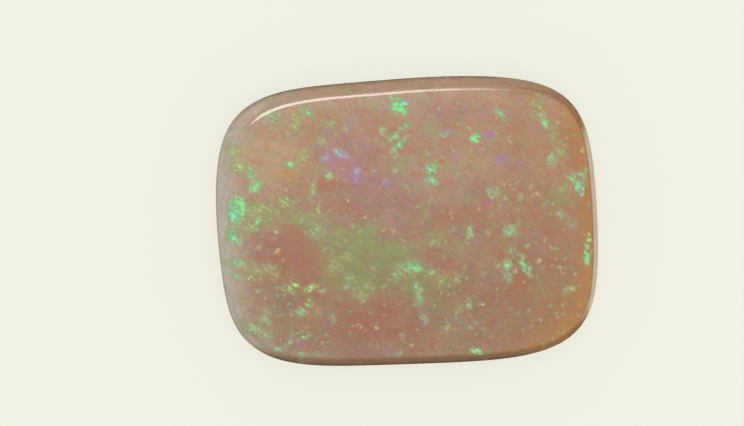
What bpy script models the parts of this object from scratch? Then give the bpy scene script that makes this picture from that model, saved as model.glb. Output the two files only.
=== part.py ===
"""A polished opal cabochon: one cushion-shaped stone with a low dome, a bevelled wall and a flat back.

Metres, +Z up. The stone lies on its flat back, its length along X and its width along Y,
with the origin under the middle of it. The outline is a hand-cut cushion: a superellipse
with a few slow waves, each a few hundredths of a millimetre high.
"""

import math

import bmesh
import bpy
from mathutils import Vector

MM = 0.001

# Driving dimensions of the finished stone
LENGTH = 16.0 * MM
WIDTH = 12.0 * MM
BACK_BEVEL = 0.5 * MM  # the back's edge is taken off at 45 degrees
GIRDLE_HEIGHT = 0.8 * MM  # upright band, the widest part
WALL_HEIGHT = 1.35 * MM  # leaning wall from the girdle up to the shoulder
WALL_LEAN = math.radians(18.0)
DOME_RISE = 0.55 * MM  # low dome over the shoulder

# Outline: how square the cushion is, and the waves that hand cutting left in it,
# each as (waves round the stone, height, where a crest is)
SQUARENESS = 4.27
HAND_CUT_WAVES = (
    (2, 0.085 * MM, math.radians(-6.5)),
    (3, 0.044 * MM, math.radians(60.0)),
    (4, 0.064 * MM, math.radians(-5.0)),
    (5, 0.016 * MM, math.radians(12.0)),
)
OUTLINE_POINTS = 120

# Rings of the dome, as shares of the way from the middle of the stone out to the shoulder
DOME_RINGS = (0.93, 0.83, 0.7, 0.55, 0.4, 0.25, 0.12)

# Levels of the four sharp rings, and how far the rounding reaches on each side of them:
# the shoulder is round, the others are only eased
GIRDLE_FOOT = BACK_BEVEL
GIRDLE_TOP = GIRDLE_FOOT + GIRDLE_HEIGHT
SHOULDER = GIRDLE_TOP + WALL_HEIGHT
SHOULDER_ROUND = 0.24 * MM
EDGE_EASE = 0.06 * MM
ROUNDED_RINGS = (
    (0.0, EDGE_EASE),
    (GIRDLE_FOOT, EDGE_EASE),
    (GIRDLE_TOP, EDGE_EASE),
    (SHOULDER, SHOULDER_ROUND),
)
ROUND_SEGMENTS = 4

SAME_LEVEL = 0.001 * MM

OPAL_COLOUR = (0.44, 0.24, 0.155, 1.0)
OPAL_ROUGHNESS = 0.12


def clear_scene():
    for obj in list(bpy.data.objects):
        bpy.data.objects.remove(obj, do_unlink=True)


def opal_material():
    material = bpy.data.materials.new("polished_opal")
    material.use_nodes = True
    shader = material.node_tree.nodes["Principled BSDF"]
    shader.inputs["Base Color"].default_value = OPAL_COLOUR
    shader.inputs["Roughness"].default_value = OPAL_ROUGHNESS
    shader.inputs["Metallic"].default_value = 0.0
    return material


def outline_point(turn):
    """Where the hand-cut cushion's edge is at that turn, before it is brought to size."""
    squared = abs(math.cos(turn)) ** SQUARENESS + abs(math.sin(turn)) ** SQUARENESS
    reach = squared ** (-1.0 / SQUARENESS)
    point = Vector((0.5 * LENGTH * math.cos(turn), 0.5 * WIDTH * math.sin(turn))) * reach
    wave = sum(height * math.cos(count * (turn - crest)) for count, height, crest in HAND_CUT_WAVES)
    return point + point.normalized() * wave


def cut_girdle(stone):
    """A short cylinder whose rim is moved out to the cushion, centred and exactly LENGTH by WIDTH."""
    bmesh.ops.create_cone(
        stone, cap_ends=True, segments=OUTLINE_POINTS, radius1=1.0, radius2=1.0, depth=GIRDLE_HEIGHT
    )
    for vertex in stone.verts:
        point = outline_point(math.atan2(vertex.co.y, vertex.co.x))
        vertex.co.xy = point
    low = Vector(min(vertex.co[axis] for vertex in stone.verts) for axis in range(3))
    high = Vector(max(vertex.co[axis] for vertex in stone.verts) for axis in range(3))
    to_middle = -(low + high) / 2
    to_size = (LENGTH / (high.x - low.x), WIDTH / (high.y - low.y), 1.0)
    bmesh.ops.translate(stone, verts=stone.verts, vec=to_middle)
    bmesh.ops.scale(stone, verts=stone.verts, vec=to_size)
    bmesh.ops.translate(stone, verts=stone.verts, vec=(0.0, 0.0, (GIRDLE_FOOT + GIRDLE_TOP) / 2))


def facing(stone, direction):
    """The cap that faces that way."""
    return max(stone.faces, key=lambda face: face.normal.dot(direction))


def grow_dome(stone, cap):
    """Draws the cap in towards the middle, ring by ring, while it rises as a parabola."""
    steps = (1.0, *DOME_RINGS)
    full_bulge = 1.0 - DOME_RINGS[-1] ** 2
    for before, after in zip(steps, steps[1:]):
        cap = bmesh.ops.extrude_discrete_faces(stone, faces=[cap])["faces"][0]
        bmesh.ops.scale(stone, verts=cap.verts, vec=(after / before, after / before, 1.0))
        level = SHOULDER + DOME_RISE * (1.0 - after**2) / full_bulge
        bmesh.ops.translate(stone, verts=cap.verts, vec=(0.0, 0.0, level - cap.verts[0].co.z))


def weigh_sharp_rings(stone):
    """Tells the Bevel modifier how far to round each sharp ring."""
    weight = stone.edges.layers.float.new("bevel_weight_edge")
    for level, reach in ROUNDED_RINGS:
        for edge in stone.edges:
            if all(abs(vertex.co.z - level) < SAME_LEVEL for vertex in edge.verts):
                edge[weight] = reach / SHOULDER_ROUND


def stone_mesh():
    stone = bmesh.new()
    cut_girdle(stone)
    stone.normal_update()
    back = facing(stone, Vector((0.0, 0.0, -1.0)))
    bmesh.ops.inset_region(stone, faces=[back], thickness=BACK_BEVEL, depth=BACK_BEVEL)
    top = facing(stone, Vector((0.0, 0.0, 1.0)))
    wall_step = WALL_HEIGHT * math.tan(WALL_LEAN)
    bmesh.ops.inset_region(stone, faces=[top], thickness=wall_step, depth=WALL_HEIGHT)
    grow_dome(stone, top)
    weigh_sharp_rings(stone)
    mesh = bpy.data.meshes.new("opal_cabochon")
    stone.to_mesh(mesh)
    stone.free()
    return mesh


def add_stone(collection):
    opal = bpy.data.objects.new("opal_cabochon", stone_mesh())
    collection.objects.link(opal)
    opal.data.materials.append(opal_material())
    opal.data.shade_smooth()
    rounding = opal.modifiers.new("Rounded rings", "BEVEL")
    rounding.limit_method = "WEIGHT"
    rounding.width = SHOULDER_ROUND
    rounding.segments = ROUND_SEGMENTS
    rounding.use_clamp_overlap = False


def main():
    clear_scene()
    specimen = bpy.data.collections.new("opal_specimen")
    bpy.context.scene.collection.children.link(specimen)
    add_stone(specimen)


main()
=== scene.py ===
import math

import bmesh
import bpy
from mathutils import Matrix, Vector


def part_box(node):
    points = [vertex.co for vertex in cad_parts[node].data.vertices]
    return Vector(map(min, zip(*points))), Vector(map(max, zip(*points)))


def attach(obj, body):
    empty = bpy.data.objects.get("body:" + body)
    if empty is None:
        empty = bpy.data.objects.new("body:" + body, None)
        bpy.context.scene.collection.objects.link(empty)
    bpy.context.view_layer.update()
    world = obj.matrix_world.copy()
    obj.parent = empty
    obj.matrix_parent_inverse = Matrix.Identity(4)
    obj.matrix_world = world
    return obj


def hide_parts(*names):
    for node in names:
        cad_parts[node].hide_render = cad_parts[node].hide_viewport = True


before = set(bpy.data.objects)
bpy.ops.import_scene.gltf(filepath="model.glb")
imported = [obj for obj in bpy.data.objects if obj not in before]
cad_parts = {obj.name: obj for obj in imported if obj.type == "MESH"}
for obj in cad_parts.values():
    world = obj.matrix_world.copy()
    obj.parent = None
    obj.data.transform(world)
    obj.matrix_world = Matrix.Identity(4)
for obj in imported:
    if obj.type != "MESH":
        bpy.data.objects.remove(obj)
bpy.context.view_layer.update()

# A cushion-cut opal cabochon lying on its flat back.
# Lengths in the dictionaries are in mm, angles in degrees.
mm = 0.001

# camera: looks down on the stone, leaning a little to its left and to its far side
camera = {
    "leanLeft": 6.7,
    "leanFar": 3.1,
    "roll": 2.28,
    "distance": 190.0,
    "fieldWidth": 31.16,      # how wide the picture is where the camera aims
    "aimAt": (-1.5, 0.42, 1.0),
    "sensor": 36.0,
}


def makeCamera():
    data = bpy.data.cameras.new("camera")
    data.sensor_width = camera["sensor"]
    data.lens = camera["sensor"] * camera["distance"] / camera["fieldWidth"]
    data.clip_start = 0.01
    data.clip_end = 10.0
    shooter = bpy.data.objects.new("camera", data)
    bpy.context.scene.collection.objects.link(shooter)
    aim = Vector(camera["aimAt"]) * mm
    back = Vector((
        -math.tan(math.radians(camera["leanLeft"])),
        math.tan(math.radians(camera["leanFar"])),
        1.0,
    )).normalized()
    # the picture's up is the stone's far side, turned by the roll
    far = Vector((math.sin(math.radians(camera["roll"])), math.cos(math.radians(camera["roll"])), 0.0))
    right = far.cross(back).normalized()
    up = back.cross(right)
    turned = Matrix((right, up, back)).transposed().to_4x4()
    shooter.matrix_world = Matrix.Translation(aim + back * camera["distance"] * mm) @ turned
    bpy.context.scene.camera = shooter


def hexColour(text):
    # a picture colour, as #rrggbb would be, brought to Blender's linear values
    shares = [int(text[i:i + 2], 16) / 255 for i in (0, 2, 4)]
    linear = [s / 12.92 if s <= 0.04045 else ((s + 0.055) / 1.055) ** 2.4 for s in shares]
    return (*linear, 1.0)


def nodeAdder(tree):
    # add(kind, inputs, settings): a constant fills the input, a socket is linked to it
    def add(kind, inputs=None, **settings):
        node = tree.nodes.new("ShaderNode" + kind)
        place = len(tree.nodes)
        node.location = (place // 8 * 220, -(place % 8) * 190)
        for name, value in settings.items():
            setattr(node, name, value)
        for name, value in (inputs or {}).items():
            if isinstance(value, bpy.types.NodeSocket):
                tree.links.new(value, node.inputs[name])
            else:
                node.inputs[name].default_value = value
        return node
    return add


# studio: a pale floor, a soft cream sky, a softbox over the far side that only glints,
# and a mat round the stone that only its walls mirror
studio = {
    "floorSize": 4000.0,
    "floorColour": (0.872, 0.884, 0.776),
    "floorGlow": 0.82,
    "skyColour": (1.0, 1.0, 0.97),
    "skyStrength": 1.0,
    "softboxFrom": (104.0, 71.0),   # azimuth from +X, and angle down from straight above
    "softboxAway": 400.0,
    "softboxSize": (520.0, 440.0),
    "softboxGlow": 13.0,
    "softboxColour": (1.0, 0.97, 0.95),
    "softboxCore": 0.6,       # share of its fall-off at which it is brightest
    "matSize": 40.0,
    "matLevel": 0.02,
    "matColour": "66564a",
    # the mat is paler beside the stone's ends, each with its colour, from where to where it turns pale,
    # and where that begins at the far and the near end
    "matPatches": (
        ("d8d4c8", (7.6, 8.4), (4.2, 3.0), (-6.6, -5.6)),
        ("aca8a4", (-5.0, -6.6), (7.6, 6.4), (-5.4, -1.5)),
    ),
}


def makePaper(name, colour, glow):
    paper = bpy.data.materials.new(name)
    paper.use_nodes = True
    shader = paper.node_tree.nodes["Principled BSDF"]
    shader.inputs["Base Color"].default_value = (*(c * (1 - glow) for c in colour), 1.0)
    shader.inputs["Roughness"].default_value = 0.9
    shader.inputs["Specular IOR Level"].default_value = 0.0
    shader.inputs["Emission Color"].default_value = (*colour, 1.0)
    shader.inputs["Emission Strength"].default_value = glow
    return paper


def makeSheet(name, length, width, paper):
    mesh = bpy.data.meshes.new(name)
    sheet = bmesh.new()
    bmesh.ops.create_grid(sheet, x_segments=1, y_segments=1, size=0.5)
    bmesh.ops.scale(sheet, verts=sheet.verts, vec=(length * mm, width * mm, 1))
    sheet.to_mesh(mesh)
    sheet.free()
    mesh.materials.append(paper)
    piece = bpy.data.objects.new(name, mesh)
    bpy.context.scene.collection.objects.link(piece)
    return piece


def hideFromAllButGloss(piece):
    piece.visible_camera = False
    piece.visible_diffuse = False
    piece.visible_transmission = False
    piece.visible_shadow = False


def makeMat():
    paper = makePaper("mat", hexColour(studio["matColour"])[:3], 0.0)
    add = nodeAdder(paper.node_tree)
    place = add("TexCoord").outputs["Object"]
    spot = add("VectorMath", {0: place, "Scale": 1 / mm}, operation="SCALE").outputs[0]
    axes = add("SeparateXYZ", {0: spot})

    def fade(axis, edges):
        return add("MapRange", {
            "Value": axes.outputs[axis], "From Min": edges[0], "From Max": edges[1],
        }, interpolation_type="SMOOTHSTEP").outputs[0]

    colour = add("RGB").outputs[0]
    colour.default_value = hexColour(studio["matColour"])
    for shade, along, farEnd, nearEnd in studio["matPatches"]:
        ends = add("Math", {0: fade("Y", farEnd), 1: fade("Y", nearEnd)}, operation="MULTIPLY")
        part = add("Math", {0: fade("X", along), 1: ends.outputs[0]}, operation="MULTIPLY")
        tone = add("Mix", {0: part.outputs[0], 6: colour, 7: hexColour(shade)}, data_type="RGBA")
        colour = tone.outputs[2]
    shader = paper.node_tree.nodes["Principled BSDF"]
    paper.node_tree.links.new(colour, shader.inputs["Base Color"])
    mat = makeSheet("mat", studio["matSize"], studio["matSize"], paper)
    mat.location.z = studio["matLevel"] * mm
    hideFromAllButGloss(mat)


def makeSoftbox():
    # brightest in its middle, and gone at its edges
    length, width = studio["softboxSize"]
    paper = makePaper("softbox", (0.0, 0.0, 0.0), 0.0)
    add = nodeAdder(paper.node_tree)
    place = add("TexCoord").outputs["Object"]
    shaped = add("Mapping", {
        "Vector": place, "Scale": (length / 2 * mm, width / 2 * mm, 1),
    }, vector_type="TEXTURE")
    faded = add("TexGradient", {"Vector": shaped.outputs[0]}, gradient_type="SPHERICAL")
    glow = add("MapRange", {
        "Value": faded.outputs["Fac"], "From Max": studio["softboxCore"], "To Max": studio["softboxGlow"],
    }, interpolation_type="SMOOTHSTEP")
    shader = paper.node_tree.nodes["Principled BSDF"]
    shader.inputs["Emission Color"].default_value = (*studio["softboxColour"], 1.0)
    paper.node_tree.links.new(glow.outputs[0], shader.inputs["Emission Strength"])
    softbox = makeSheet("softbox", length, width, paper)
    turn, down = (math.radians(angle) for angle in studio["softboxFrom"])
    toward = Vector((math.cos(turn) * math.sin(down), math.sin(turn) * math.sin(down), math.cos(down)))
    softbox.location = toward * studio["softboxAway"] * mm
    softbox.rotation_euler = toward.to_track_quat("Z", "Y").to_euler()
    hideFromAllButGloss(softbox)


def makeStudio():
    scene = bpy.context.scene
    scene.view_settings.view_transform = "Standard"
    world = bpy.data.worlds.new("softSky")
    world.use_nodes = True
    sky = world.node_tree.nodes["Background"]
    sky.inputs["Color"].default_value = (*studio["skyColour"], 1.0)
    sky.inputs["Strength"].default_value = studio["skyStrength"]
    scene.world = world
    paper = makePaper("paleFloor", studio["floorColour"], studio["floorGlow"])
    makeSheet("floor", studio["floorSize"], studio["floorSize"], paper)
    makeMat()
    makeSoftbox()
    print("studio: floor, sky, mat and softbox")


# stone: its form, and how finely each stretch of it is divided
stone = {
    "gridAlong": 200,
    "gridAcross": 150,
    "squareness": 4.27,
    # waves round the stone, height, where a crest is
    "handCutWaves": ((2, 0.085, -6.5), (3, 0.044, 60.0), (4, 0.064, -5.0), (5, 0.016, 12.0)),
    "backBevel": 0.5,
    "girdle": 0.8,
    "wall": 1.35,
    "wallLean": 18.0,
    "shoulderReach": 0.24,
    "shoulderRadius": 0.4,
    "easeReach": 0.06,
    "shoulderSteps": 14,
    "easeSteps": 4,
    "wallSteps": 14,
    "girdleSteps": 6,
    "bevelSteps": 5,
    "outlineSteps": 2880,     # points that the outline's own size is measured on
    "firstTilt": 9.0,         # a first guess of how the dome leans at its rim
    "tiltTries": 4,
}


def outlinePoint(turn, length, width):
    power = stone["squareness"]
    reach = (abs(math.cos(turn)) ** power + abs(math.sin(turn)) ** power) ** (-1 / power)
    point = Vector((length / 2 * math.cos(turn), width / 2 * math.sin(turn))) * reach
    wave = sum(
        height * math.cos(count * (turn - math.radians(crest)))
        for count, height, crest in stone["handCutWaves"]
    )
    return point + point.normalized() * wave


def makeOutline(turns, length, width):
    # points and outward normals, brought to the exact size
    count = stone["outlineSteps"]
    fine = [outlinePoint(math.tau * i / count, length, width) for i in range(count)]
    low = Vector((min(p.x for p in fine), min(p.y for p in fine)))
    high = Vector((max(p.x for p in fine), max(p.y for p in fine)))
    middle = (low + high) / 2
    stretch = Vector((length / (high.x - low.x), width / (high.y - low.y)))

    def sized(turn):
        point = outlinePoint(turn, length, width) - middle
        return Vector((point.x * stretch.x, point.y * stretch.y))

    points = [sized(turn) for turn in turns]
    normals = []
    nudge = 0.001
    for turn in turns:
        along = sized(turn + nudge) - sized(turn - nudge)
        normals.append(Vector((along.y, -along.x)).normalized())
    return points, normals


def makeSection():
    # the wall's section as (inset from the outline, height): how it leans, and its shoulder's arc
    lean = math.radians(stone["wallLean"])
    girdleTop = stone["backBevel"] + stone["girdle"]
    shoulder = Vector((stone["wall"] * math.tan(lean), girdleTop + stone["wall"]))
    wallUp = Vector((math.sin(lean), math.cos(lean)))
    arcStart = shoulder - wallUp * stone["shoulderReach"]
    return {
        "wallUp": wallUp,
        "wallTilt": math.pi / 2 - lean,
        "girdleTop": girdleTop,
        "arcStart": arcStart,
        "arcCentre": arcStart + Vector((wallUp.y, -wallUp.x)) * stone["shoulderRadius"],
    }


def makeDomeRim(section, points, normals, height):
    # where the shoulder's arc meets the dome, and how the dome leans there
    radius = stone["shoulderRadius"]
    centre = section["arcCentre"]
    plan, heights, tilts = [], [], []
    for point, normal in zip(points, normals):
        tilt = math.radians(stone["firstTilt"])
        for _ in range(stone["tiltTries"]):
            inset = centre.x - radius * math.sin(tilt)
            level = centre.y + radius * math.cos(tilt)
            edge = point - normal * inset
            tilt = math.atan(2 * (height - level) / edge.dot(normal))
        plan.append(edge)
        heights.append(level)
        tilts.append(tilt)
    return plan, heights, tilts


def squareReach(v):
    # how far out on the grid a point is: 0 in the middle, 1 on its rim
    return max(abs(v.co.x), abs(v.co.y))


def turnOf(v):
    return math.atan2(v.co.y, v.co.x)


def spreadDome(mesh, rim, turns, rimPlan, rimHeight, height):
    # every grid point goes to the cushion, scaled along the line from the middle
    slack = 1e-9

    def onRim(values, turn):
        place = (turn - turns[0]) % math.tau
        low, high = 0, len(turns)
        while high - low > 1:
            half = (low + high) // 2
            if (turns[half] - turns[0]) <= place + slack:
                low = half
            else:
                high = half
        after = (low + 1) % len(turns)
        gap = (turns[after] - turns[low]) % math.tau
        share = min(max((place - (turns[low] - turns[0])) / gap, 0.0), 1.0)
        return values[low] * (1 - share) + values[after] * share

    onTheRim = set(rim)
    for v in mesh.verts:
        if v in onTheRim:
            continue
        reach, turn = squareReach(v), turnOf(v)
        plan = onRim(rimPlan, turn) * reach
        drop = (height - onRim(rimHeight, turn)) * reach ** 2
        v.co = (plan.x, plan.y, height - drop)
    for v, plan, level in zip(rim, rimPlan, rimHeight):
        v.co = (plan.x, plan.y, level)


def makeWallRings(section, rimTilt):
    # rings from the shoulder down to the back, each one a list of (inset, height) round the stone
    rings = []
    centre, radius, steps = section["arcCentre"], stone["shoulderRadius"], stone["shoulderSteps"]
    for k in range(1, steps + 1):
        ring = []
        for tilt in rimTilt:
            t = tilt + (section["wallTilt"] - tilt) * k / steps
            ring.append((centre.x - radius * math.sin(t), centre.y + radius * math.cos(t)))
        rings.append(ring)

    def addLevel(spot):
        rings.append([(spot.x, spot.y)] * len(rimTilt))

    def addStretch(start, end, count):
        for k in range(1, count + 1):
            addLevel(start.lerp(end, k / count))

    def addEase(corner, before, after):
        # a small arc between two straight stretches
        count = stone["easeSteps"]
        begin = corner - before * stone["easeReach"]
        end = corner + after * stone["easeReach"]
        for k in range(1, count + 1):
            share = k / count
            addLevel(begin.lerp(corner, share).lerp(corner.lerp(end, share), share))

    wallUp = section["wallUp"]
    down = Vector((0, -1))
    girdleEdge = Vector((0, section["girdleTop"]))
    foot = Vector((0, stone["backBevel"]))
    slant = Vector((1, -1)).normalized()
    backEdge = Vector((stone["backBevel"], 0))
    flat = Vector((1, 0))
    ease = stone["easeReach"]
    addStretch(section["arcStart"], girdleEdge + wallUp * ease, stone["wallSteps"])
    addEase(girdleEdge, -wallUp, down)
    addStretch(girdleEdge + down * ease, foot - down * ease, stone["girdleSteps"])
    addEase(foot, down, slant)
    addStretch(foot + slant * ease, backEdge - slant * ease, stone["bevelSteps"])
    addEase(backEdge, slant, flat)
    return rings


def hangRings(mesh, loop, rings, points, normals):
    # joins each ring to the one above it, and closes the last with the flat back
    for ring in rings:
        lower = []
        for (inset, level), point, normal in zip(ring, points, normals):
            plan = point - normal * inset
            lower.append(mesh.verts.new((plan.x, plan.y, level)))
        for i in range(len(loop)):
            j = (i + 1) % len(loop)
            mesh.faces.new((loop[j], loop[i], lower[i], lower[j]))
        loop = lower
    mesh.faces.new(list(reversed(loop)))


def makeStoneMesh(name, length, width, height):
    mesh = bmesh.new()
    bmesh.ops.create_grid(mesh, x_segments=stone["gridAlong"], y_segments=stone["gridAcross"], size=1.0)

    # the grid's rim, in order, each point with its turn on the cushion
    outermost = 0.9999
    rim = [v for v in mesh.verts if squareReach(v) > outermost]
    rim.sort(key=turnOf)
    turns = [turnOf(v) for v in rim]
    points, normals = makeOutline(turns, length, width)
    section = makeSection()
    rimPlan, rimHeight, rimTilt = makeDomeRim(section, points, normals, height)
    spreadDome(mesh, rim, turns, rimPlan, rimHeight, height)
    hangRings(mesh, rim, makeWallRings(section, rimTilt), points, normals)

    bmesh.ops.scale(mesh, verts=mesh.verts, vec=(mm, mm, mm))
    bmesh.ops.recalc_face_normals(mesh, faces=mesh.faces)
    data = bpy.data.meshes.new(name)
    mesh.to_mesh(data)
    mesh.free()
    data.shade_smooth()
    return data


def startGroup(name, inputs, outputs):
    tree = bpy.data.node_groups.new(name, "ShaderNodeTree")
    for label, kind, value in inputs:
        socket = tree.interface.new_socket(label, in_out="INPUT", socket_type="NodeSocket" + kind)
        socket.default_value = value
    for label, kind in outputs:
        tree.interface.new_socket(label, in_out="OUTPUT", socket_type="NodeSocket" + kind)
    inside = tree.nodes.new("NodeGroupInput")
    outside = tree.nodes.new("NodeGroupOutput")
    outside.location = (1600, 0)
    return tree, nodeAdder(tree), inside.outputs, outside.inputs


# opal: where things are is in mm from the stone's middle, turns are anticlockwise seen from above
opal = {
    "ior": 1.45,
    "polish": 0.085,
    "lapped": 0.42,
    "waver": (0.7, 0.03),     # scale for 1 mm, and height
    "lapLines": (1.6, 0.07, 1.0),   # length and width of the back's lapping lines
    "lapTurn": 25.0,
    "lapDepth": 0.0012,
    "lapEdge": (0.55, 0.1),   # height where the back's look begins, and where it is full
    "dullEdge": (0.6, 0.1),
    "flashLevel": 2.75,       # height that the flashes are centred at
    "flashDepth": 2.2,        # how far up and down they reach
    "cloudSpread": 0.85,      # where a cloud has faded out, as a share of its length and width
    "cloudEdge": 1.5,         # how steeply it fades
    "softWarp": (0.9, 0.22),  # scale for 1 mm, and how far it pushes
    "raggedWarp": (4.0, 0.12),
    "crumbs": 8.5,            # how many in 1 mm
    "crumbShare": (0.82, 1.18),   # how much a crumb holds back or lifts a flash
    "streakLift": 0.65,       # what a streak lifts a flash by, as a share of what it holds back
    "facets": 0.22,           # how much the crumbs light and shade a flash
    "streaks": (0.66, 0.11, 1.0),   # length and width of the streaks
    "streakTone": 0.04,       # how faintly they show in the body
    "streakTurn": -35.0,
    "grain": (6.5, 0.34),     # scale for 1 mm, and how much it shows
    "body": "ae8e72",
    "bodyDeep": "a88468",
    "bodyDrift": 0.8,         # scale for 1 mm of the change from body to bodyDeep
    "nearShade": "e6e4e0",     # painted shade: multiplies the near side, which lies further from the light
    "nearShadeFade": (3.5, -3.5),
    "back": "8f7560",
}

# how drifting noise shares a look out, each as (noise from, noise to, least, most)
uneven = {
    "body": (0.4, 0.62, 0.0, 1.0),
    "clouds": (0.36, 0.6, 0.68, 1.15),
    "paintedSideLight": (0.38, 0.6, 1.0, 0.7),
    "specks": (0.42, 0.58, 0.4, 1.0),
    "flecks": (0.4, 0.6, 0.15, 0.85),
    "back": (0.36, 0.62, 0.35, 0.85),
    "polish": (0.35, 0.65, 0.8, 1.25),
}

# faint colours that wander through the body, as (noise value, colour, cover)
hazes = {
    "Red": ((0.45, "ba6f5e", 0.0), (0.68, "ba6f5e", 0.5)),
    "Green": ((0.47, "969c6e", 0.0), (0.68, "969c6e", 0.44)),
    "Blue": ((0.48, "a98c98", 0.0), (0.7, "a98c98", 0.45)),
}
hazeScale = 1.5

# small specks all over: cells in 1 mm, share of cells that have one, size in its cell, cover,
# where they fade at the rim, and their colours, as (from which random value, colour, cover)
speckle = {
    "scale": 3.4,
    "share": 0.5,
    "size": 0.4,
    "cover": 0.72,
    "rimFade": (1.0, 0.9),    # reach at which they are gone, and at which they are all there
    "colours": (
        (0.0, "bcae86", 1.0), (0.3, "a0a874", 1.0), (0.5, "b87868", 0.8), (0.62, "c4ac92", 1.0),
        (0.78, "90b890", 1.0), (0.92, "8a6450", 0.8),
    ),
}

# flecks of fire, larger than the specks
flecks = {
    "scale": 1.9,
    "stretch": (1.0, 0.6, 1.0),   # length and width, before the turn
    "turn": 35.0,
    "share": 0.4,
    "size": 0.42,
    "colours": (
        (0.0, "a2a870", 0.9), (0.3, "9cc080", 1.0), (0.5, "90c894", 1.0), (0.65, "b46a58", 0.7),
        (0.78, "a0b082", 0.9), (0.9, "b0c890", 1.0),
    ),
}

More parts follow.
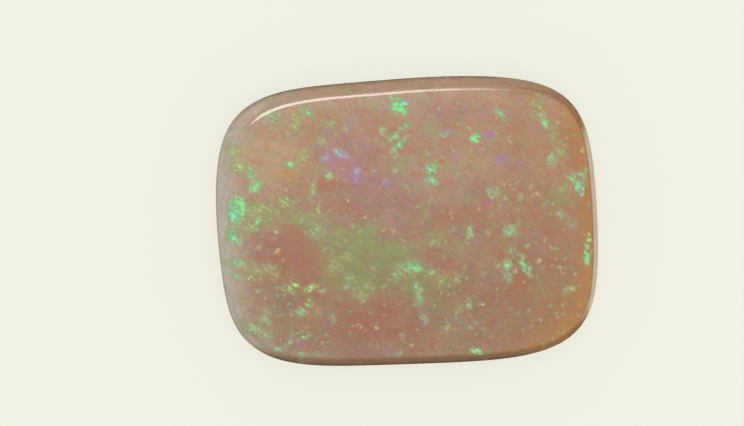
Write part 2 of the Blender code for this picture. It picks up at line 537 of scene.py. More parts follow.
# soft clouds of colour under the fire: colour, how much it covers,
# and each cloud as (x, y, length, width, turn, strength)
clouds = {
    "tan": ("b89a7a", 0.85, (
        (-5.9, 2.9, 2.8, 2.2, 0, 0.8), (-5.0, 4.4, 2.6, 1.2, 8, 0.5), (-6.6, -0.9, 0.8, 0.6, 0, 0.3),
        (-6.7, -3.2, 1.4, 1.4, 0, 0.5), (2.6, 2.4, 2.4, 1.5, 0, 0.35), (-0.4, 4.2, 2.0, 1.2, 0, 0.3),
        # this last tan cloud is a painted highlight: the pale haze round the right end of the softbox's
        # glint along the far shoulder
        (4.0, 5.0, 1.5, 0.34, -14, 0.6),
    )),
    "mauve": ("a48074", 0.85, (
        (1.6, 4.6, 2.4, 1.2, 0, 0.6), (0.1, 3.4, 1.6, 1.4, 0, 0.5), (-1.5, 1.2, 3.6, 2.4, -10, 0.8),
        (-2.4, 2.9, 2.2, 1.2, -10, 0.8), (2.3, 1.3, 2.2, 1.8, 0, 0.5), (-0.2, -3.4, 0.7, 0.8, 0, 0.5),
        (2.4, -4.85, 1.0, 0.8, 0, 0.5), (4.6, 1.6, 1.8, 1.6, 0, 0.4), (2.6, -2.4, 1.8, 1.2, 0, 0.4),
        (-4.9, 1.5, 1.2, 0.9, 0, 0.4), (-5.6, -2.8, 1.2, 0.8, 0, 0.5), (-3.0, -5.0, 1.8, 0.7, 0, 0.45),
        (4.2, -3.6, 1.4, 1.0, 0, 0.3),
    )),
    "russet": ("b07660", 0.85, (
        (-5.2, -1.1, 2.8, 1.6, -10, 0.85), (-4.5, -1.75, 1.4, 1.0, 0, 0.6),
        (-1.6, -4.0, 3.8, 1.9, -4, 0.75), (1.6, 0.3, 1.5, 0.7, 0, 0.6), (-0.05, 0.6, 0.6, 1.1, 0, 0.45),
        (3.1, -0.5, 0.9, 0.8, 0, 0.5), (-3.6, 1.8, 1.0, 0.5, -8, 0.7), (0.9, -1.6, 1.2, 0.8, -20, 0.5),
        (3.6, -3.1, 1.6, 0.9, 0, 0.5), (-3.0, 0.8, 2.0, 0.7, -8, 0.5), (0.3, -5.1, 1.6, 0.5, 0, 0.35),
        (-0.9, -2.7, 1.0, 0.6, 0, 0.4),
    )),
    "olive": ("969d69", 1.0, (
        (-6.4, 0.7, 1.3, 1.0, 0, 0.85), (-4.7, 0.45, 2.0, 0.8, -6, 0.75), (-2.5, -0.4, 2.4, 1.0, 5, 0.85),
        (-2.3, -1.2, 3.2, 1.6, -12, 0.9), (-2.6, -2.0, 2.5, 1.4, -15, 0.9),
        (0.0, -2.3, 2.2, 1.2, -10, 0.75), (0.9, -0.7, 1.1, 0.8, 0, 0.4), (-0.9, -1.3, 1.6, 1.1, 0, 0.7),
        (6.3, 0.8, 1.3, 0.9, 10, 0.6), (1.9, -0.95, 0.6, 0.45, 0, 0.5), (3.62, -0.8, 0.5, 0.5, 0, 0.4),
        (0.42, 0.6, 0.4, 0.5, 0, 0.35), (0.8, -3.3, 0.9, 0.7, 0, 0.45), (-3.6, -1.9, 0.6, 1.3, 0, 0.5),
        (2.2, 0.85, 0.5, 0.5, 0, 0.4), (-0.5, 2.45, 1.0, 0.5, 0, 0.4), (0.95, 4.1, 0.8, 0.6, 0, 0.4),
        (1.8, 2.3, 1.1, 0.7, 0, 0.4), (0.0, 5.3, 1.2, 0.5, 0, 0.4), (6.0, 3.6, 1.0, 0.35, 90, 0.5),
        (-5.3, 0.9, 1.2, 0.8, 0, 0.3), (2.85, -4.5, 0.5, 0.6, 0, 0.4), (5.3, -2.5, 0.9, 0.6, 0, 0.4),
        (-5.2, -3.8, 1.0, 0.5, 0, 0.3),
    )),
    "moss": ("80c06e", 0.85, (
        (-0.38, -1.7, 0.8, 0.3, 8, 0.9), (-0.84, -2.1, 0.55, 0.24, 75, 0.8),
        (0.05, -2.95, 0.8, 0.27, -80, 0.75), (-0.1, -1.78, 0.4, 0.26, -30, 0.6),
    )),
    "amber": ("b88a52", 0.8, (
        (-5.1, 2.25, 1.0, 0.7, 0, 0.6), (-3.85, -1.2, 0.6, 0.5, 0, 0.5), (1.4, -2.15, 0.6, 0.45, 0, 0.5),
        (-4.4, 1.6, 0.5, 0.4, 0, 0.4), (5.2, -4.1, 0.6, 0.5, 0, 0.5), (-4.85, -3.75, 0.5, 0.2, 0, 0.5),
        (3.7, -0.85, 0.4, 0.3, 0, 0.5), (6.5, -3.7, 1.2, 1.6, 0, 0.5), (6.4, 4.2, 1.6, 0.9, 0, 0.4),
        (-3.5, -2.2, 0.4, 0.7, 0, 0.5), (-6.3, -1.9, 0.9, 0.5, 0, 0.4), (5.6, -4.7, 2.0, 0.8, 15, 0.5),
    )),
    "red": ("b86c58", 0.75, (
        (-3.55, 1.75, 1.2, 0.5, -5, 0.6), (-3.22, 1.9, 0.24, 0.2, 0, 0.7), (-2.3, 0.48, 0.32, 0.2, 0, 0.7),
        (-5.2, 0.05, 0.8, 0.3, -15, 0.5), (-2.2, -4.05, 0.55, 0.2, 8, 0.7),
        (-2.85, -3.4, 0.36, 0.16, 0, 0.5), (-1.1, -4.5, 0.6, 0.7, 0, 0.5), (0.65, -1.4, 0.28, 0.24, 0, 0.7),
        (2.35, -2.9, 0.3, 0.15, 90, 0.6), (2.45, -3.68, 0.24, 0.2, 0, 0.6),
        (2.0, -3.72, 0.3, 0.14, 90, 0.5), (3.15, -4.35, 0.4, 0.26, 0, 0.6), (3.65, -1.4, 0.6, 0.5, 0, 0.7),
        (3.95, -0.82, 0.32, 0.2, 0, 0.8), (4.17, 0.08, 0.3, 0.25, 0, 0.6), (4.7, 0.42, 0.26, 0.2, 0, 0.5),
        (4.3, -2.6, 0.6, 0.5, 0, 0.7), (4.0, -4.8, 0.5, 0.18, 0, 0.4), (7.28, 0.75, 0.6, 0.24, 90, 0.7),
        (6.2, -0.5, 0.34, 0.2, 90, 0.5), (7.2, -2.2, 0.34, 0.26, 0, 0.7), (-7.2, 1.6, 0.3, 0.1, 90, 0.5),
        (-4.2, -2.75, 0.3, 0.2, 0, 0.7), (-4.55, -2.25, 0.4, 0.2, 0, 0.6), (-3.75, 3.2, 0.3, 0.2, 0, 0.5),
        (-6.6, 2.85, 0.4, 0.3, 0, 0.4), (0.05, 2.02, 0.4, 0.22, 0, 0.5), (1.85, 4.55, 0.3, 0.3, 0, 0.5),
        (3.55, 4.2, 0.36, 0.26, 0, 0.6), (1.38, 2.6, 0.3, 0.2, 0, 0.5), (5.5, 4.38, 0.3, 0.16, 0, 0.5),
        (6.15, 4.3, 0.3, 0.2, 0, 0.5), (6.9, 2.5, 0.4, 0.3, 90, 0.5), (0.0, 3.75, 0.36, 0.26, 0, 0.5),
        (-6.8, -3.4, 0.5, 0.4, 0, 0.4), (5.2, -1.62, 0.28, 0.26, 0, 0.6),
    )),
    "rose": ("b87484", 0.75, (
        (-2.9, 2.5, 1.6, 1.0, -30, 0.45), (-1.9, 1.6, 1.4, 0.8, -20, 0.4),
        (-3.35, 2.62, 0.5, 0.26, -55, 0.7), (-3.05, 3.2, 0.3, 0.3, 0, 0.5),
        (-1.5, 2.02, 0.42, 0.16, 0, 0.7), (-1.63, -0.02, 0.28, 0.22, 0, 0.7),
        (-0.9, -0.48, 0.42, 0.2, -5, 0.7), (3.2, 0.75, 0.42, 0.36, 0, 0.7), (3.3, 3.55, 0.36, 0.3, 0, 0.6),
        (-4.95, -1.4, 0.5, 0.3, 90, 0.4), (-5.9, -0.4, 0.8, 0.5, 90, 0.4),
        (-1.83, -4.55, 0.28, 0.2, 0, 0.6), (-7.75, 1.7, 0.36, 0.18, 90, 0.6),
        (-7.3, -1.62, 0.14, 0.1, 0, 0.5), (-4.6, -4.9, 0.6, 0.3, 10, 0.5), (5.05, 0.7, 0.26, 0.22, 90, 0.7),
        (2.8, -0.08, 0.34, 0.22, 0, 0.6), (4.8, -2.65, 0.4, 0.2, 90, 0.4), (3.5, -3.6, 0.8, 0.5, 0, 0.35),
        (4.8, -1.85, 0.4, 0.3, 90, 0.4),
    )),
    "violet": ("ac7cb0", 0.8, (
        (-2.35, 2.18, 0.62, 0.4, 80, 0.5), (-2.3, 2.65, 0.3, 0.3, 0, 0.4), (3.78, 2.52, 0.5, 0.34, 10, 0.5),
        (3.3, 3.56, 0.46, 0.32, 0, 0.6), (-3.1, 2.8, 0.9, 0.5, -20, 0.4), (-1.1, 1.72, 0.3, 0.26, 90, 0.5),
        (-2.75, 5.5, 0.4, 0.2, 0, 0.4), (-1.15, -5.35, 0.36, 0.14, 0, 0.5),
        (-1.85, 0.83, 0.2, 0.2, 0, 0.35), (-7.6, 0.22, 0.24, 0.2, 0, 0.35), (-5.55, 5.0, 0.5, 0.3, 0, 0.3),
    )),
}

# play of colour: each fire has its hatching, spread and steepness, the colours that it runs through
# from its faint edge to its core, as (mask, colour, cover), and its flashes like the clouds
fires = {
    "pale": (0.34, 0.62, 1.5, (
        (0.0, "b09c7c", 0.0), (0.3, "aea47c", 0.5), (0.65, "b8b48a", 0.8), (1.0, "d8d8b0", 1.0),
    ), (
        (-1.63, 2.3, 0.2, 0.07, -20, 0.75), (-1.13, 1.4, 0.22, 0.1, 20, 0.45),
        (-2.75, 1.1, 0.16, 0.06, 0, 0.8), (-2.02, 0.34, 0.22, 0.12, -35, 1.0),
        (-2.55, 0.35, 0.15, 0.06, -30, 0.5), (-5.7, -0.12, 0.22, 0.1, -20, 0.8),
        (-5.78, -0.92, 0.26, 0.2, 0, 0.5), (-6.35, -0.2, 0.26, 0.2, 0, 0.35),
        (-6.48, -1.77, 0.42, 0.055, -29, 0.9), (-7.33, -1.87, 0.18, 0.15, 0, 0.7),
        (-7.65, 1.31, 0.16, 0.05, 0, 0.45), (-4.7, 1.12, 0.16, 0.1, 0, 0.45),
        (-6.28, -2.8, 0.16, 0.12, 90, 0.45), (-5.22, -3.58, 0.3, 0.08, 40, 0.6),
        (-5.73, -4.58, 0.2, 0.07, 90, 0.8), (-4.6, -4.12, 0.12, 0.1, 0, 0.5),
        (-2.22, -4.35, 0.2, 0.08, 90, 0.75), (-1.72, -4.2, 0.26, 0.18, -60, 0.45),
        (0.0, -4.42, 0.1, 0.1, 0, 0.45), (0.78, -5.2, 0.16, 0.12, 90, 0.4),
        (2.75, -3.5, 0.2, 0.13, 0, 0.75), (2.47, -4.28, 0.26, 0.13, -30, 0.4),
        (2.1, -2.32, 0.2, 0.08, 90, 0.5), (2.6, -3.0, 0.12, 0.06, 90, 0.4),
        (3.7, -2.85, 0.15, 0.12, 0, 0.55), (3.8, -3.7, 0.26, 0.08, 90, 0.45),
        (5.62, -3.68, 0.15, 0.12, 0, 0.7), (6.15, -3.68, 0.12, 0.1, 0, 0.6),
        (6.32, -3.67, 0.12, 0.08, 90, 0.45), (5.2, -4.3, 0.16, 0.07, 90, 0.5),
        (5.87, -4.05, 0.26, 0.2, 90, 0.4), (6.13, -2.18, 0.36, 0.1, -65, 0.55),
        (6.72, -2.42, 0.26, 0.13, 90, 0.35), (5.03, -0.22, 0.4, 0.06, -65, 0.4),
        (5.15, -0.6, 0.12, 0.1, 0, 0.45), (5.27, 0.95, 0.3, 0.2, -50, 0.5),
        (4.77, 0.9, 0.26, 0.1, 70, 0.45), (4.38, 0.32, 0.26, 0.13, -60, 0.5),
        (3.8, 1.55, 0.2, 0.15, 0, 0.45), (4.05, 1.39, 0.1, 0.06, 90, 0.6),
        (5.52, 1.75, 0.16, 0.05, 90, 0.5), (7.32, 2.12, 0.2, 0.05, 90, 0.7),
        (2.2, -0.88, 0.2, 0.15, 0, 0.4), (1.7, -0.75, 0.1, 0.1, 0, 0.5), (0.12, 1.72, 0.12, 0.08, 90, 0.5),
        (-0.17, 1.42, 0.2, 0.06, -75, 0.4), (-0.85, 0.62, 0.16, 0.13, 0, 0.35),
        (-1.3, -0.17, 0.2, 0.14, 0, 0.45), (-0.9, -0.17, 0.26, 0.18, 0, 0.35),
        (3.25, 0.25, 0.36, 0.18, 90, 0.4), (2.58, -5.42, 0.2, 0.09, -10, 0.8),
        (0.73, 2.87, 0.08, 0.08, 0, 0.8), (-4.8, 2.35, 0.36, 0.08, 0, 0.4), (-4.6, 2.68, 0.3, 0.1, 0, 0.35),
        (-1.15, 3.8, 0.3, 0.26, 0, 0.6), (-3.6, 3.42, 0.5, 0.12, -40, 0.5),
        (-3.5, 3.5, 0.4, 0.08, -40, 0.5), (4.15, 3.25, 0.4, 0.12, -50, 0.45),
        (-6.1, -1.75, 0.7, 0.06, -28, 0.7), (2.5, 3.85, 0.2, 0.12, -50, 0.6),
        (-7.68, 0.0, 0.1, 0.06, 90, 0.7), (-7.45, -2.2, 0.26, 0.04, 90, 0.6),
        (3.5, 1.3, 0.2, 0.09, 0, 0.65), (3.23, 1.15, 0.3, 0.12, -70, 0.7),
    )),
    "violet": (0.36, 1.0, 1.2, (
        (0.0, "a07c88", 0.0), (0.4, "a880a4", 0.5), (1.0, "b088cc", 0.9),
    ), (
        (-2.35, 2.18, 0.55, 0.3, 80, 0.75), (3.78, 2.52, 0.4, 0.26, 10, 0.55),
        (3.3, 3.56, 0.36, 0.26, 0, 0.45), (-1.15, 1.72, 0.3, 0.2, 90, 0.36),
    )),
    "lavender": (0.36, 1.0, 1.2, (
        (0.0, "a08a90", 0.0), (0.35, "a898ac", 0.6), (1.0, "b6bcdc", 0.95),
    ), (
        (-2.93, 3.02, 0.52, 0.2, -30, 0.8), (-3.63, 2.9, 0.4, 0.2, 45, 0.62),
        (-2.28, 2.3, 0.26, 0.14, 80, 0.6), (1.45, 3.75, 0.4, 0.2, 10, 0.4),
        (-1.2, 1.75, 0.26, 0.14, 60, 0.36),
    )),
    "leaf": (0.46, 1.18, 1.2, (
        (0.0, "a49468", 0.0), (0.2, "a09a68", 0.32), (0.48, "9eae70", 0.74), (0.95, "aade80", 1.0),
    ), (
        (0.95, 2.4, 0.36, 0.3, 90, 0.6), (-4.4, -2.47, 0.44, 0.19, 25, 0.62),
        (-5.08, -2.28, 0.3, 0.12, -28, 0.9), (-5.25, -2.5, 0.4, 0.13, -50, 0.6),
        (-5.5, -2.42, 0.34, 0.3, 0, 0.42), (-3.97, -2.6, 0.19, 0.16, 0, 0.7),
        (-4.52, -3.15, 0.2, 0.16, 0, 0.85), (-4.5, -2.9, 0.3, 0.12, 90, 0.5),
        (-4.77, -4.53, 0.4, 0.11, 25, 0.78), (4.48, -1.68, 0.22, 0.15, 90, 0.75),
        (7.38, -0.97, 0.28, 0.12, 80, 0.85), (7.25, 1.85, 0.3, 0.22, 30, 0.6),
        (5.38, 4.68, 0.45, 0.28, -35, 0.6), (5.25, 4.28, 0.26, 0.2, 90, 0.5),
        (5.7, 4.0, 0.55, 0.24, -60, 0.6), (-5.3, 1.12, 0.42, 0.32, -10, 0.62),
        (-6.5, 0.86, 1.0, 0.5, 0, 0.38), (-6.9, 0.1, 0.6, 0.3, 10, 0.48), (-7.15, 2.7, 0.5, 0.4, 80, 0.6),
        (-4.12, 1.85, 0.42, 0.14, 75, 0.45), (-3.97, 0.78, 0.3, 0.08, 90, 0.85),
        (-6.9, -1.92, 0.17, 0.12, 0, 0.8), (-6.58, -2.02, 0.2, 0.07, -15, 0.75),
        (-6.75, -1.97, 0.6, 0.26, -10, 0.3), (-5.8, -1.68, 0.5, 0.2, -20, 0.34),
        (-6.8, -4.15, 0.5, 0.2, 5, 0.46), (-4.22, -3.55, 0.3, 0.26, 30, 0.42),
        (-0.68, -4.68, 0.2, 0.12, 90, 0.55), (2.23, -4.42, 0.2, 0.15, 0, 0.5),
        (1.72, -3.72, 0.36, 0.12, 60, 0.55), (5.8, -1.27, 0.28, 0.1, -20, 0.5),
        (6.47, -3.05, 0.45, 0.22, 20, 0.5), (-0.45, -0.65, 0.12, 0.11, 0, 0.6),
        (6.45, 1.2, 0.32, 0.3, 0, 0.38), (-7.28, -2.68, 0.5, 0.3, 90, 0.32),
        (-0.4, -2.02, 0.65, 0.2, 0, 0.5), (0.9, -0.7, 0.4, 0.28, 10, 0.42),
        (-2.27, -2.7, 0.6, 0.42, 30, 0.43), (1.08, -2.4, 0.45, 0.32, 10, 0.43),
        (1.7, -2.33, 0.4, 0.28, 0, 0.42), (1.18, -4.43, 0.34, 0.18, 30, 0.45),
        (5.42, -5.27, 0.28, 0.25, 90, 0.35), (-4.75, 4.4, 0.72, 0.26, 80, 0.5),
        (-3.25, 4.33, 0.4, 0.3, 0, 0.5), (-5.65, 5.4, 0.3, 0.3, 0, 0.5), (-4.5, 2.95, 0.5, 0.26, 0, 0.48),
        (-4.15, 1.55, 0.5, 0.2, 80, 0.55), (6.0, 3.5, 0.6, 0.26, -80, 0.48),
        (1.9, 4.1, 0.34, 0.22, 0, 0.38), (-6.5, -1.65, 1.7, 0.45, -18, 0.32),
        (0.65, -2.05, 0.36, 0.2, 15, 0.58), (-7.4, 3.3, 0.5, 0.34, 0, 0.55),
        (-7.65, 2.8, 0.6, 0.4, 80, 0.42), (-5.9, 0.7, 1.4, 0.7, 10, 0.3), (-2.47, 5.7, 0.36, 0.3, 0, 0.6),
        (-2.9, -1.25, 0.36, 0.3, -40, 0.4), (-3.45, -1.6, 0.56, 0.4, -40, 0.38),
        (-4.3, 3.25, 0.3, 0.25, 0, 0.4), (-6.65, 3.8, 0.3, 0.25, 0, 0.3), (6.28, 2.78, 0.45, 0.36, 90, 0.4),
        (-3.27, 4.3, 0.3, 0.3, 0, 0.35),
    )),
    "mint": (0.36, 1.18, 1.2, (
        (0.0, "9c9a74", 0.0), (0.2, "9aa078", 0.35), (0.45, "98b486", 0.75), (0.72, "8ace88", 0.95),
        (1.0, "84ec8c", 1.0),
    ), (
        (-0.4, 4.9, 0.48, 0.36, -35, 1.25), (-0.64, 5.16, 0.36, 0.15, -45, 0.6),
        (-0.52, 3.28, 0.55, 0.2, 40, 0.8), (-1.16, 3.95, 0.26, 0.2, 30, 0.5),
        (-5.06, 2.68, 0.26, 0.2, -20, 0.9), (2.72, 3.5, 0.28, 0.25, 90, 1.1),
        (5.7, 4.0, 0.48, 0.21, -60, 0.68), (0.76, 2.08, 0.55, 0.36, 90, 0.76),
        (-3.48, 2.12, 0.25, 0.15, 30, 0.8), (-6.55, 1.83, 0.4, 0.28, 30, 1.0),
        (-6.7, 1.7, 0.2, 0.16, 0, 0.75), (-7.33, 0.9, 0.76, 0.4, 85, 1.35),
        (-6.48, 0.28, 0.38, 0.2, 70, 0.75), (-7.55, -0.2, 0.42, 0.28, -65, 1.3),
        (-7.27, -0.4, 0.28, 0.2, 80, 0.6), (-4.1, -0.1, 0.5, 0.4, 10, 0.58),
        (-4.2, 4.8, 0.34, 0.22, -60, 0.76), (-4.45, 5.05, 0.45, 0.16, -50, 0.5),
        (-0.3, -1.76, 0.8, 0.32, -4, 0.52), (-0.04, -1.8, 0.38, 0.21, -30, 1.15),
        (-0.8, -2.1, 0.5, 0.24, 80, 0.5), (0.0, -2.62, 0.3, 0.16, -75, 0.75),
        (0.08, -2.95, 0.75, 0.26, -80, 0.46), (3.5, 1.05, 0.26, 0.2, 80, 0.6),
        (3.25, 1.12, 0.36, 0.2, -70, 0.6), (2.33, -0.42, 0.38, 0.2, 75, 0.68),
        (3.98, -0.46, 0.34, 0.32, 40, 0.75), (4.32, -0.2, 0.32, 0.16, 70, 0.42),
        (3.78, -1.9, 0.32, 0.26, 0, 0.8), (3.82, -2.3, 0.5, 0.22, -70, 0.5),
        (4.56, -1.95, 0.58, 0.2, -62, 0.8), (7.24, -1.6, 0.56, 0.17, 90, 0.95),
        (6.77, 1.55, 0.36, 0.24, -55, 0.68), (-4.88, -3.43, 0.24, 0.2, 90, 0.9),
        (-6.05, -1.5, 0.28, 0.2, 0, 0.36), (2.5, -5.46, 0.34, 0.15, -25, 0.82),
        (-2.78, -2.05, 0.28, 0.2, 0, 0.52), (-0.16, 4.06, 0.34, 0.16, 12, 0.78),
        (-0.71, 3.63, 0.42, 0.17, 38, 0.78), (-6.67, 2.37, 0.36, 0.25, 80, 0.6),
        (-4.87, 5.72, 0.45, 0.26, 0, 0.62), (-7.6, 3.72, 0.36, 0.32, 80, 0.66),
        (-7.7, -1.33, 0.85, 0.2, 3, 0.74), (-6.95, -4.05, 0.95, 0.34, -25, 0.5),
        (-5.65, 4.77, 0.5, 0.42, 20, 0.55),
    )),
    "teal": (0.36, 1.18, 1.2, (
        (0.0, "989c80", 0.0), (0.2, "96a07c", 0.35), (0.45, "92b890", 0.8), (0.74, "86dca4", 1.0),
        (1.0, "80f0dc", 1.0),
    ), (
        (-0.24, 4.96, 0.26, 0.2, 0, 0.8), (-0.46, 3.3, 0.3, 0.12, 40, 0.6),
        (-7.38, 0.7, 0.5, 0.26, 90, 0.95), (1.45, 3.67, 0.42, 0.2, 10, 0.4),
        (-7.2, 4.22, 0.4, 0.16, 0, 0.45), (-7.55, -0.2, 0.34, 0.22, -65, 0.9),
        (-3.05, 3.12, 0.2, 0.1, -30, 0.5), (7.05, 1.3, 0.42, 0.25, 90, 0.8), (7.15, 1.6, 0.3, 0.3, 0, 0.5),
        (7.2, 1.1, 0.3, 0.1, 80, 0.95), (4.67, -2.15, 0.32, 0.24, -60, 0.45),
        (-7.45, -1.83, 0.24, 0.22, 0, 0.5), (-7.43, -1.34, 0.24, 0.16, 0, 0.62),
        (0.85, 1.78, 0.36, 0.3, 90, 0.55), (5.9, 2.42, 0.36, 0.26, 90, 0.54),
        (3.95, -1.28, 0.32, 0.2, -20, 0.42), (3.86, 4.36, 0.6, 0.2, -52, 0.58),
        (-6.2, -4.38, 0.36, 0.28, -30, 0.45), (-6.32, -3.72, 0.6, 0.5, 80, 0.32),
        (-6.15, -3.5, 0.3, 0.15, 90, 0.35), (-5.85, -4.98, 0.36, 0.18, 0, 0.65),
        (-4.85, -5.17, 0.2, 0.15, 0, 0.55), (-4.85, -5.42, 0.3, 0.12, 90, 0.42),
        (-4.4, -5.27, 0.8, 0.13, 0, 0.38), (2.2, -3.43, 0.3, 0.2, 90, 0.42),
        (0.23, -3.9, 0.26, 0.2, 0, 0.44), (0.3, -4.1, 0.3, 0.2, 90, 0.3), (6.2, 0.1, 0.36, 0.22, -80, 0.42),
        (6.63, -0.27, 0.36, 0.28, 20, 0.32), (0.08, -2.75, 0.24, 0.16, 0, 0.42),
        (-1.78, -1.78, 0.3, 0.26, 0, 0.32), (-2.9, -2.5, 0.5, 0.22, 0, 0.36),
        (-5.33, -4.68, 0.36, 0.13, 70, 0.45), (-5.05, -4.32, 0.36, 0.13, 10, 0.42),
        (-3.55, -3.75, 0.3, 0.2, 90, 0.3), (-0.82, -5.38, 0.16, 0.14, 0, 0.4),
    )),
}

# tones of the rim and the walls, most of them painted reflections and painted shade, each side its own:
# colour, cover, axis, from where to where it grows along that axis, and from which height down to which
paintedSideLight = {
    # lilac and left: painted reflection of the bright surroundings, greyer towards the left end
    "lilac": ("b8a69c", 0.6, "X", (-6.5, -7.7), (3.4, 3.2)),
    "left": ("c2bab0", 0.85, "X", (-2.5, -7.2), (2.85, 2.1)),
    # far: painted reflection, paler on the far wall; farEdge: painted shade low on the far wall
    "far": ("c8aa98", 0.5, "Y", (3.8, 5.2), (2.88, 2.6)),
    "farEdge": ("8e6e58", 0.7, "Y", (3.8, 5.2), (1.75, 1.35)),
    # warmEnd: warmer towards the right end
    "warmEnd": ("a87446", 0.36, "X", (0.5, 6.5), (3.4, 3.3)),
    # near and nearEdge: painted shade, darker down the near wall towards the girdle
    "near": ("8e6a50", 0.9, "Y", (-4.7, -5.5), (2.5, 2.1)),
    "nearEdge": ("644a36", 0.95, "Y", (-4.9, -5.6), (1.95, 1.45)),
    # rightShade: painted shade on the right wall below its shoulder; right: painted reflection, a pale
    # strip low on the right wall
    "rightShade": ("8a6442", 0.9, "X", (5.6, 7.2), (2.64, 2.52)),
    "right": ("c8b090", 0.9, "X", (7.15, 7.55), (2.52, 2.42)),
}
# at the right corners these painted side tones begin lower: how much, and from where to where that comes in
corners = {
    "drop": 0.95,
    "alongX": (3.5, 6.6),
    "farY": (2.2, 4.6),
    "nearY": (-3.4, -5.0),
}
# the warm rim, a painted glow where light comes through the stone's thin edge: its colour, from which reach
# to which it grows, and where along the stone
rimGlow = {
    "colour": "b07e4a",
    "reach": (0.8, 0.94),
    "alongX": (2.4, 7.0),
    "alongY": (5.3, 3.4),
}


def makeWarp():
    tree, add, taken, given = startGroup(
        "opalWarp",
        (("Vector", "Vector", (0, 0, 0)), ("Scale", "Float", 1.0), ("Amount", "Float", 0.1)),
        (("Vector", "Vector"),),
    )
    cloud = add("TexNoise", {"Vector": taken["Vector"], "Scale": taken["Scale"], "Detail": 2.0})
    centred = add("VectorMath", {0: cloud.outputs["Color"], 1: (0.5, 0.5, 0.5)}, operation="SUBTRACT")
    pushed = add("VectorMath", {0: centred.outputs[0], "Scale": taken["Amount"]}, operation="SCALE")
    # the noise keeps near its middle, so its reach is brought up
    wide = add("VectorMath", {0: pushed.outputs[0], "Scale": 3.0}, operation="SCALE")
    moved = add("VectorMath", {0: taken["Vector"], 1: wide.outputs[0]}, operation="ADD")
    tree.links.new(moved.outputs[0], given["Vector"])
    return tree


def makeFlash():
    # an ellipsoid that fades out from its middle, laid over the mask so far
    tree, add, taken, given = startGroup(
        "opalFlash",
        (
            ("Vector", "Vector", (0, 0, 0)), ("Centre", "Vector", (0, 0, 0)), ("Turn", "Vector", (0, 0, 0)),
            ("Reach", "Vector", (1, 1, 1)), ("Gain", "Float", 1.0), ("Strength", "Float", 1.0),
            ("Under", "Float", 0.0),
        ),
        (("Mask", "Float"),),
    )
    placed = add("Mapping", {
        "Vector": taken["Vector"], "Location": taken["Centre"], "Rotation": taken["Turn"],
        "Scale": taken["Reach"],
    }, vector_type="TEXTURE")
    faded = add("TexGradient", {"Vector": placed.outputs[0]}, gradient_type="SPHERICAL")
    steep = add("Math", {0: faded.outputs["Fac"], 1: taken["Gain"]}, operation="MULTIPLY")
    flat = add("Math", {0: steep.outputs[0], 1: taken["Strength"]}, operation="MINIMUM")
    over = add("Math", {0: flat.outputs[0], 1: taken["Under"]}, operation="MAXIMUM")
    tree.links.new(over.outputs[0], given["Mask"])
    return tree


def makeBreakUp():
    # the opal's inner pattern: a random value for each small crumb, and straight streaks
    tree, add, taken, given = startGroup(
        "opalBreakUp",
        (
            ("Vector", "Vector", (0, 0, 0)), ("Crumbs", "Float", 8.0), ("Turn", "Vector", (0, 0, 0)),
            ("Streaks", "Vector", (1, 1, 1)), ("Straight", "Vector", (0, 0, 0)),
        ),
        (("Crumb", "Float"), ("Streak", "Float")),
    )
    cells = add("TexVoronoi", {"Vector": taken["Vector"], "Scale": taken["Crumbs"]})
    parts = add("SeparateColor", {"Color": cells.outputs["Color"]})
    tree.links.new(parts.outputs["Red"], given["Crumb"])
    along = add("Mapping", {
        "Vector": taken["Straight"], "Rotation": taken["Turn"], "Scale": taken["Streaks"],
    }, vector_type="TEXTURE")
    lines = add("TexNoise", {"Vector": along.outputs[0], "Scale": 1.0, "Detail": 2.0})
    crisp = add("MapRange", {"Value": lines.outputs["Fac"], "From Min": 0.35, "From Max": 0.65})
    tree.links.new(crisp.outputs[0], given["Streak"])
    return tree


def makeSpecks():
    tree, add, taken, given = startGroup(
        "opalSpecks",
        (
            ("Vector", "Vector", (0, 0, 0)), ("Scale", "Float", 3.0), ("Share", "Float", 0.1),
            ("Size", "Float", 0.3),
        ),
        (("Mask", "Float"), ("Random", "Float")),
    )
    cells = add("TexVoronoi", {"Vector": taken["Vector"], "Scale": taken["Scale"]})
    parts = add("SeparateColor", {"Color": cells.outputs["Color"]})
    chosen = add("Math", {0: parts.outputs["Red"], 1: taken["Share"]}, operation="LESS_THAN")
    dot = add("MapRange", {
        "Value": cells.outputs["Distance"], "From Min": taken["Size"], "From Max": 0.0,
    }, interpolation_type="SMOOTHSTEP")
    mask = add("Math", {0: dot.outputs[0], 1: chosen.outputs[0]}, operation="MULTIPLY")
    tree.links.new(mask.outputs[0], given["Mask"])
    tree.links.new(parts.outputs["Green"], given["Random"])
    return tree


def makeCushionReach():
    # how far out a point is: 0 in the middle, 1 on the girdle
    tree, add, taken, given = startGroup(
        "cushionReach",
        (("Vector", "Vector", (0, 0, 0)), ("Half Size", "Vector", (8, 6, 1))),
        (("Reach", "Float"),),
    )
    share = add("VectorMath", {0: taken["Vector"], 1: taken["Half Size"]}, operation="DIVIDE")
    size = add("VectorMath", {0: share.outputs[0]}, operation="ABSOLUTE")
    axes = add("SeparateXYZ", {0: size.outputs[0]})
    power = stone["squareness"]
    along = add("Math", {0: axes.outputs["X"], 1: power}, operation="POWER")
    across = add("Math", {0: axes.outputs["Y"], 1: power}, operation="POWER")
    both = add("Math", {0: along.outputs[0], 1: across.outputs[0]}, operation="ADD")
    reach = add("Math", {0: both.outputs[0], 1: 1 / power}, operation="POWER")
    tree.links.new(reach.outputs[0], given["Reach"])
    return tree


def ramp(add, value, start, end, low=0.0, high=1.0):
    return add("MapRange", {
        "Value": value, "From Min": start, "From Max": end, "To Min": low, "To Max": high,
    }, interpolation_type="SMOOTHSTEP").outputs[0]


def times(add, a, b):
    return add("Math", {0: a, 1: b}, operation="MULTIPLY").outputs[0]


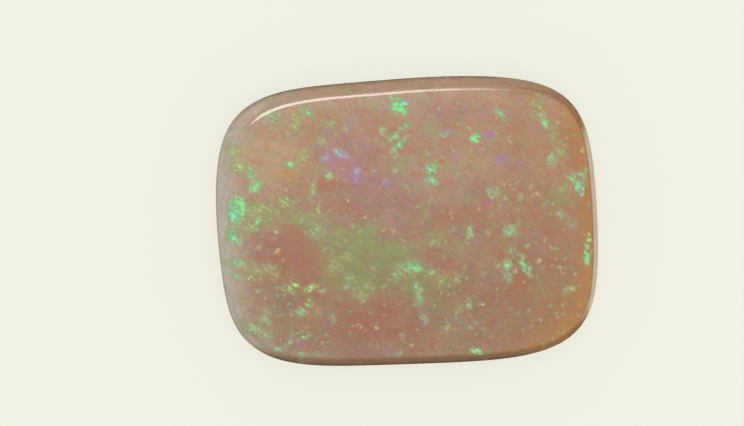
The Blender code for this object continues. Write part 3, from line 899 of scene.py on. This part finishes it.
def blend(add, share, under, over, mode="MIX"):
    # a Mix node's colours are its sockets 6 and 7, and its result is socket 2
    return add("Mix", {0: share, 6: under, 7: over}, data_type="RGBA", blend_type=mode).outputs[2]


def greyOf(add, value):
    return add("CombineColor", {name: value for name in ("Red", "Green", "Blue")}).outputs[0]


def colourRun(add, value, steps, kind):
    # the cover and the colour that these steps give for a value
    node = add("ValToRGB", {0: value})
    node.color_ramp.interpolation = kind
    stops = node.color_ramp.elements
    while len(stops) < len(steps):
        stops.new(0.5)
    for stop, (position, shade, cover) in zip(stops, steps):
        stop.position = position
        stop.color = (*hexColour(shade)[:3], cover)
    return node.outputs["Alpha"], node.outputs["Color"]


def unionOf(add, flash, marks, vector, spread, edge):
    # one mask for all the marks, each an ellipsoid in the stone
    mask = 0.0
    for x, y, length, width, turn, strength in marks:
        mask = add("Group", {
            "Vector": vector, "Centre": (x, y, opal["flashLevel"]), "Turn": (0, 0, math.radians(turn)),
            "Reach": (length * spread, width * spread, opal["flashDepth"]),
            "Gain": strength * edge, "Strength": strength, "Under": mask,
        }, node_tree=flash).outputs["Mask"]
    return mask


def makePlaces(add):
    # what the looks are placed by: the spot in mm, its axes, the spot pushed about, and patterns there
    place = add("TexCoord").outputs["Object"]
    spot = add("VectorMath", {0: place, "Scale": 1 / mm}, operation="SCALE").outputs[0]
    axes = add("SeparateXYZ", {0: spot}).outputs
    here = {"spot": spot, "X": axes["X"], "Y": axes["Y"], "Z": axes["Z"]}
    warp = makeWarp()
    for kind in ("soft", "ragged"):
        scale, amount = opal[kind + "Warp"]
        pushed = add("Group", {"Vector": spot, "Scale": scale, "Amount": amount}, node_tree=warp)
        here[kind] = pushed.outputs["Vector"]
    inner = add("Group", {
        "Vector": here["ragged"], "Crumbs": opal["crumbs"],
        "Turn": (0, 0, math.radians(opal["streakTurn"])), "Streaks": opal["streaks"], "Straight": spot,
    }, node_tree=makeBreakUp()).outputs
    here["crumb"], here["streak"] = inner["Crumb"], inner["Streak"]
    here["tone"] = add("TexNoise", {
        "Vector": here["soft"], "Scale": opal["bodyDrift"], "Detail": 3.0,
    }).outputs["Fac"]
    drift = add("TexNoise", {
        "Vector": here["soft"], "Scale": hazeScale, "Detail": 5.0, "Roughness": 0.6,
    }).outputs
    here["drift"] = drift["Fac"]
    here["channels"] = add("SeparateColor", {"Color": drift["Color"]}).outputs
    return here


def paintBody(add, here, flash):
    body, bodyDeep = hexColour(opal["body"]), hexColour(opal["bodyDeep"])
    colour = blend(add, ramp(add, here["tone"], *uneven["body"]), body, bodyDeep)
    for channel, steps in hazes.items():
        cover, shade = colourRun(add, here["channels"][channel], steps, "LINEAR")
        colour = blend(add, cover, colour, shade)
    thickness = ramp(add, here["channels"]["Green"], *uneven["clouds"])
    for name, (shade, cover, marks) in clouds.items():
        mask = unionOf(add, flash, marks, here["soft"], opal["cloudSpread"], opal["cloudEdge"])
        mask = times(add, mask, thickness)
        colour = blend(add, ramp(add, mask, 0.0, 1.0, 0.0, cover), colour, hexColour(shade))
        print("cloud:", name, len(marks))
    # painted shade: the near side is darkened, as it lies further from the light
    near = ramp(add, here["Y"], *opal["nearShadeFade"])
    return blend(add, near, colour, hexColour(opal["nearShade"]), "MULTIPLY")


def paintSideLight(add, here, colour):
    # painted light: a glow where light comes through the stone's thin warm rim, then the painted
    # reflections and painted shade of each side
    warm = times(add, ramp(add, here["reach"], *rimGlow["reach"]), ramp(add, here["X"], *rimGlow["alongX"]))
    warm = times(add, warm, ramp(add, here["Y"], *rimGlow["alongY"]))
    colour = blend(add, warm, colour, hexColour(rimGlow["colour"]))
    far, near = ramp(add, here["Y"], *corners["farY"]), ramp(add, here["Y"], *corners["nearY"])
    both = add("Math", {0: far, 1: near}, operation="ADD").outputs[0]
    lifted = add("Math", {
        0: times(add, both, ramp(add, here["X"], *corners["alongX"])), 1: corners["drop"], 2: here["Z"],
    }, operation="MULTIPLY_ADD").outputs[0]
    patchy = ramp(add, here["channels"]["Red"], *uneven["paintedSideLight"])
    for shade, cover, axis, along, down in paintedSideLight.values():
        mask = times(add, ramp(add, here[axis], *along), ramp(add, lifted, *down, 0.0, cover))
        colour = blend(add, times(add, mask, patchy), colour, hexColour(shade))
    print("sides:", len(paintedSideLight))
    return colour


def paintSpecks(add, here, colour):
    # a fine grain and streaks, small specks all over, and flecks that are thick in some places only
    colour = blend(add, opal["grain"][1], colour, here["grain"]["Color"], "OVERLAY")
    colour = blend(add, opal["streakTone"], colour, greyOf(add, here["streak"]), "OVERLAY")
    specks = makeSpecks()
    dots = add("Group", {
        "Vector": here["ragged"], "Scale": speckle["scale"], "Share": speckle["share"],
        "Size": speckle["size"],
    }, node_tree=specks).outputs
    cover, shade = colourRun(add, dots["Random"], speckle["colours"], "CONSTANT")
    inside = ramp(add, here["reach"], *speckle["rimFade"], 0.0, speckle["cover"])
    inside = times(add, inside, ramp(add, here["tone"], *uneven["specks"]))
    colour = blend(add, times(add, times(add, dots["Mask"], cover), inside), colour, shade)
    slanted = add("Mapping", {
        "Vector": here["ragged"], "Rotation": (0, 0, math.radians(flecks["turn"])),
        "Scale": flecks["stretch"],
    }, vector_type="TEXTURE")
    bits = add("Group", {
        "Vector": slanted.outputs[0], "Scale": flecks["scale"], "Share": flecks["share"],
        "Size": flecks["size"],
    }, node_tree=specks).outputs
    cover, shade = colourRun(add, bits["Random"], flecks["colours"], "CONSTANT")
    thick = ramp(add, here["channels"]["Blue"], *uneven["flecks"])
    return blend(add, times(add, times(add, bits["Mask"], cover), thick), colour, shade)


def paintFires(add, here, flash, colour):
    # the crumbs and the streaks break each fire up, and the crumbs light and shade it
    crumb = ramp(add, here["crumb"], 0.0, 1.0, *opal["crumbShare"])
    facets = greyOf(add, here["crumb"])
    for name, (hatch, spread, edge, steps, marks) in fires.items():
        streak = ramp(add, here["streak"], 0.0, 1.0, 1 - hatch, 1 + opal["streakLift"] * hatch)
        mask = unionOf(add, flash, marks, here["ragged"], spread, edge)
        mask = times(add, mask, times(add, crumb, streak))
        cover, shade = colourRun(add, mask, steps, "LINEAR")
        colour = blend(add, cover, colour, blend(add, opal["facets"], shade, facets, "OVERLAY"))
        print("fire:", name, len(marks))
    return colour


def makeRelief(add, here, under):
    # the polish wavers a little, and the back keeps its lapping lines
    scale, height = opal["waver"]
    waver = add("TexNoise", {"Vector": here["spot"], "Scale": scale, "Detail": 1.0}).outputs["Fac"]
    along = add("Mapping", {
        "Vector": here["spot"], "Rotation": (0, 0, math.radians(opal["lapTurn"])),
        "Scale": opal["lapLines"],
    }, vector_type="TEXTURE")
    scratch = add("TexNoise", {"Vector": along.outputs[0], "Scale": 1.0, "Detail": 3.0}).outputs["Fac"]
    scratch = times(add, times(add, scratch, under), opal["lapDepth"])
    relief = add("Math", {0: waver, 1: height, 2: scratch}, operation="MULTIPLY_ADD")
    return add("Bump", {"Height": relief.outputs[0], "Distance": mm}).outputs[0]


def makeOpal(length, width):
    material = bpy.data.materials.new("polishedOpal")
    material.use_nodes = True
    tree = material.node_tree
    shader = tree.nodes["Principled BSDF"]
    add = nodeAdder(tree)
    here = makePlaces(add)
    flash = makeFlash()
    colour = paintBody(add, here, flash)
    here["reach"] = add("Group", {
        "Vector": here["spot"], "Half Size": (length / 2, width / 2, 1),
    }, node_tree=makeCushionReach()).outputs["Reach"]
    colour = paintSideLight(add, here, colour)
    here["grain"] = add("TexNoise", {
        "Vector": here["spot"], "Scale": opal["grain"][0], "Detail": 3.0, "Roughness": 0.7,
    }).outputs
    colour = paintSpecks(add, here, colour)
    colour = paintFires(add, here, flash, colour)

    # the lapped back, duller than the rest and mottled
    under = ramp(add, here["Z"], *opal["lapEdge"])
    mottled = times(add, under, ramp(add, here["drift"], *uneven["back"]))
    colour = blend(add, mottled, colour, hexColour(opal["back"]))
    rubbed = ramp(add, here["grain"]["Fac"], *uneven["polish"])
    dull = times(add, ramp(add, here["Z"], *opal["dullEdge"], opal["polish"], opal["lapped"]), rubbed)
    tree.links.new(colour, shader.inputs["Base Color"])
    tree.links.new(dull, shader.inputs["Roughness"])
    tree.links.new(makeRelief(add, here, under), shader.inputs["Normal"])
    shader.inputs["IOR"].default_value = opal["ior"]
    print("opal material:", len(tree.nodes), "nodes")
    return material


def makeStone():
    low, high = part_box("opal_cabochon")
    length, width, height = [(high[i] - low[i]) / mm for i in range(3)]
    data = makeStoneMesh("opalStone", length, width, height)
    piece = bpy.data.objects.new("opalStone", data)
    bpy.context.scene.collection.objects.link(piece)
    piece.data.materials.append(makeOpal(length, width))
    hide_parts("opal_cabochon")
    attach(piece, "root")
    print("stone:", len(data.polygons), "faces")


makeCamera()
makeStudio()
makeStone()
